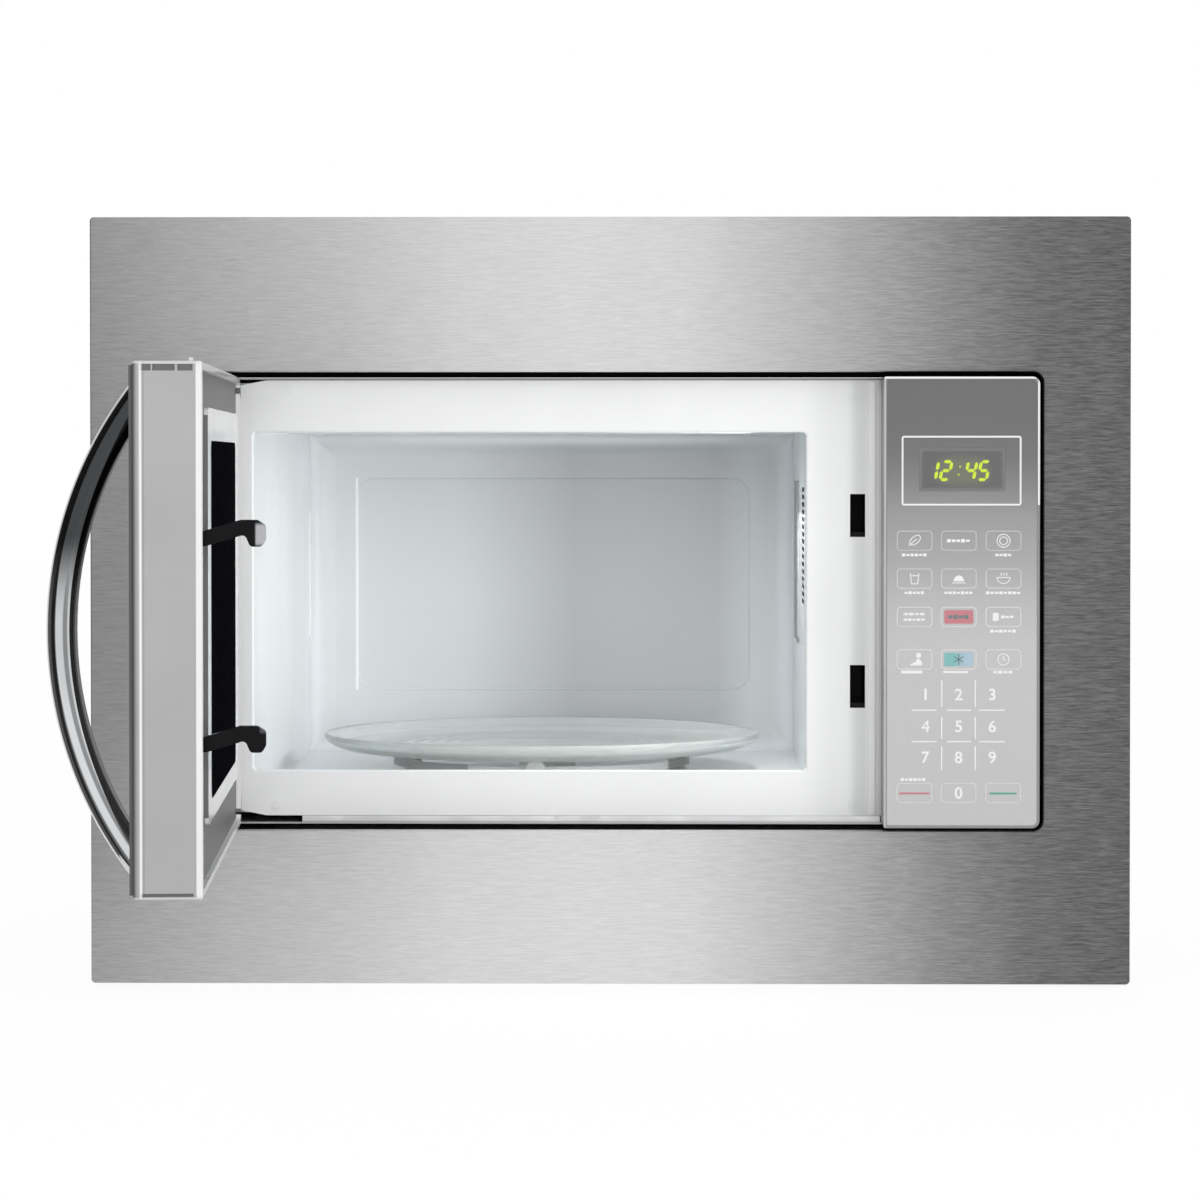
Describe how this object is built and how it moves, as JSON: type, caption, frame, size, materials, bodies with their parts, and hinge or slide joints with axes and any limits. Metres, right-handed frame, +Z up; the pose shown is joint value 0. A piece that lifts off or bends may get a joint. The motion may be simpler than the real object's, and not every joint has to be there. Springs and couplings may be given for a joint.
{
  "type": "built-in microwave oven",
  "caption": "Built-in microwave oven in a wide stainless trim frame: left-hinged door with bow handle, glass turntable on rollers, touch panel with clock display.",
  "frame": {"origin": "centre of the trim frame, on the front plane of the cupboard it is built into", "axes": "+X to the user's right, +Y into the cupboard, +Z up"},
  "size_m": [0.595, 0.7926, 0.439],
  "materials": {
    "stainless": "brushed stainless steel, short horizontal grain",
    "black_steel": "black powder coat",
    "galvanised": "zinc-coated sheet steel",
    "zinc": "bright zinc plating",
    "grey_paint": "light grey paint on steel sheet",
    "rubber": "black rubber",
    "black_plastic": "black moulded plastic",
    "white_enamel": "glossy white powder enamel",
    "mica": "pale mica sheet",
    "aluminium": "plain aluminium",
    "tube_steel": "plain metal and ceramic tube",
    "core_steel": "varnished electrical steel",
    "copper": "enamelled copper winding",
    "grey_plastic": "grey moulded plastic",
    "white_plastic": "white moulded plastic",
    "circuit_board": "green circuit board with components",
    "clear_glass": "clear glass, faintly green",
    "silver_plastic": "silver painted plastic",
    "mirror_film": "silver-grey mirror film over printed keys",
    "smoked_lens": "smoked display lens",
    "display_glow": "digit display, glowing yellow-green",
    "dark_glass": "dark tinted door glass",
    "black_glass": "glossy black window film",
    "chrome": "polished chrome",
    "spring_steel": "spring steel wire"
  },
  "bodies": {
    "oven": {"trim_frame": "stainless", "trim_liner": "black_steel", "trim_bracket_left": "galvanised", "trim_bracket_right": "galvanised", "trim_screws": "zinc", "cabinet_wrap": "grey_paint", "base_plate": "galvanised", "rear_panel": "galvanised", "cabinet_screws": "zinc", "feet": "rubber", "cord_gland": "black_plastic", "cavity_shell": "white_enamel", "front_plate": "white_enamel", "plate_rivets": "white_enamel", "waveguide_cover": "mica", "waveguide": "galvanised", "magnetron_yoke": "galvanised", "magnetron_fins": "aluminium", "magnetron_tube": "tube_steel", "magnetron_filter_box": "galvanised", "transformer_core": "core_steel", "transformer_primary": "copper", "transformer_secondary": "copper", "hv_capacitor": "aluminium", "capacitor_clamp": "galvanised", "hv_diode": "black_plastic", "fan_shroud": "grey_plastic", "fan_motor": "core_steel", "noise_filter": "circuit_board", "lamp_holder": "white_plastic", "lamp_bulb": "clear_glass", "thermal_cutout": "black_plastic", "turntable_motor": "galvanised", "control_housing": "silver_plastic", "keypad_overlay": "mirror_film", "display_window": "smoked_lens", "display_module": "display_glow", "control_board": "circuit_board", "latch_board": "black_plastic", "microswitches": "black_plastic", "hinge_upper": "zinc", "hinge_lower": "zinc"},
    "door": {"door_frame": "silver_plastic", "door_glass": "dark_glass", "door_pan": "white_enamel", "choke_cover": "grey_plastic", "window_film": "black_glass", "door_screen": "black_steel", "door_handle": "chrome", "handle_screws": "zinc", "latch_spring": "spring_steel"},
    "latch": {"latch_key": "black_plastic"},
    "coupler": {"drive_coupler": "white_plastic"},
    "plate": {"glass_turntable": "clear_glass"},
    "roller_ring": {"roller_ring": "white_plastic"},
    "roller_1": {"roller_wheel_1": "white_plastic"},
    "roller_2": {"roller_wheel_2": "white_plastic"},
    "roller_3": {"roller_wheel_3": "white_plastic"},
    "fan": {"fan_blade": "white_plastic"},
    "lever": {"interlock_lever": "black_plastic"}
  },
  "joints": [
    {"name": "door_swing", "type": "hinge", "parent": "oven", "child": "door", "pos_m": [-0.236, -0.0194, 0], "axis": [0, 0, 1], "range_deg": [-14, 86]},
    {"name": "latch_slide", "type": "slide", "parent": "door", "child": "latch", "axis": [0, 0, 1], "range_m": [0, 0.004], "stiffness_N_per_m": 300, "springref_m": -0.005, "deforming": ["latch_spring"]},
    {"name": "coupler_spin", "type": "hinge", "parent": "oven", "child": "coupler", "pos_m": [-0.04685, 0.1815, -0.105], "axis": [0, 0, 1], "continuous": true},
    {"name": "plate_lift", "type": "slide", "parent": "coupler", "child": "plate", "axis": [0, 0, 1], "range_m": [0, 0.03]},
    {"name": "ring_spin", "type": "hinge", "parent": "oven", "child": "roller_ring", "pos_m": [-0.04685, 0.1815, -0.1055], "axis": [0, 0, 1], "continuous": true},
    {"name": "roller_1_spin", "type": "hinge", "parent": "roller_ring", "child": "roller_1", "pos_m": [-0.04685, 0.085, -0.1055], "axis": [0, -1, 0], "continuous": true},
    {"name": "roller_2_spin", "type": "hinge", "parent": "roller_ring", "child": "roller_2", "pos_m": [0.03672, 0.22975, -0.1055], "axis": [0.866, 0.5, 0], "continuous": true},
    {"name": "roller_3_spin", "type": "hinge", "parent": "roller_ring", "child": "roller_3", "pos_m": [-0.13042, 0.22975, -0.1055], "axis": [-0.866, 0.5, 0], "continuous": true},
    {"name": "fan_spin", "type": "hinge", "parent": "oven", "child": "fan", "pos_m": [0.1769, 0.36, 0.018], "axis": [0, 1, 0], "continuous": true},
    {"name": "lever_rock", "type": "hinge", "parent": "oven", "child": "lever", "pos_m": [0.1427, 0.0406, -0.0339], "axis": [1, 0, 0], "range_deg": [0, 7], "stiffness_Nm_per_rad": 0.02, "springref_deg": -11.46}
  ],
  "couplings": [
    {"joint": "ring_spin", "follows": "coupler_spin", "ratio": 0.5},
    {"joint": "roller_1_spin", "follows": "coupler_spin", "ratio": -7.5984},
    {"joint": "roller_2_spin", "follows": "coupler_spin", "ratio": -7.5984},
    {"joint": "roller_3_spin", "follows": "coupler_spin", "ratio": -7.5984}
  ]
}
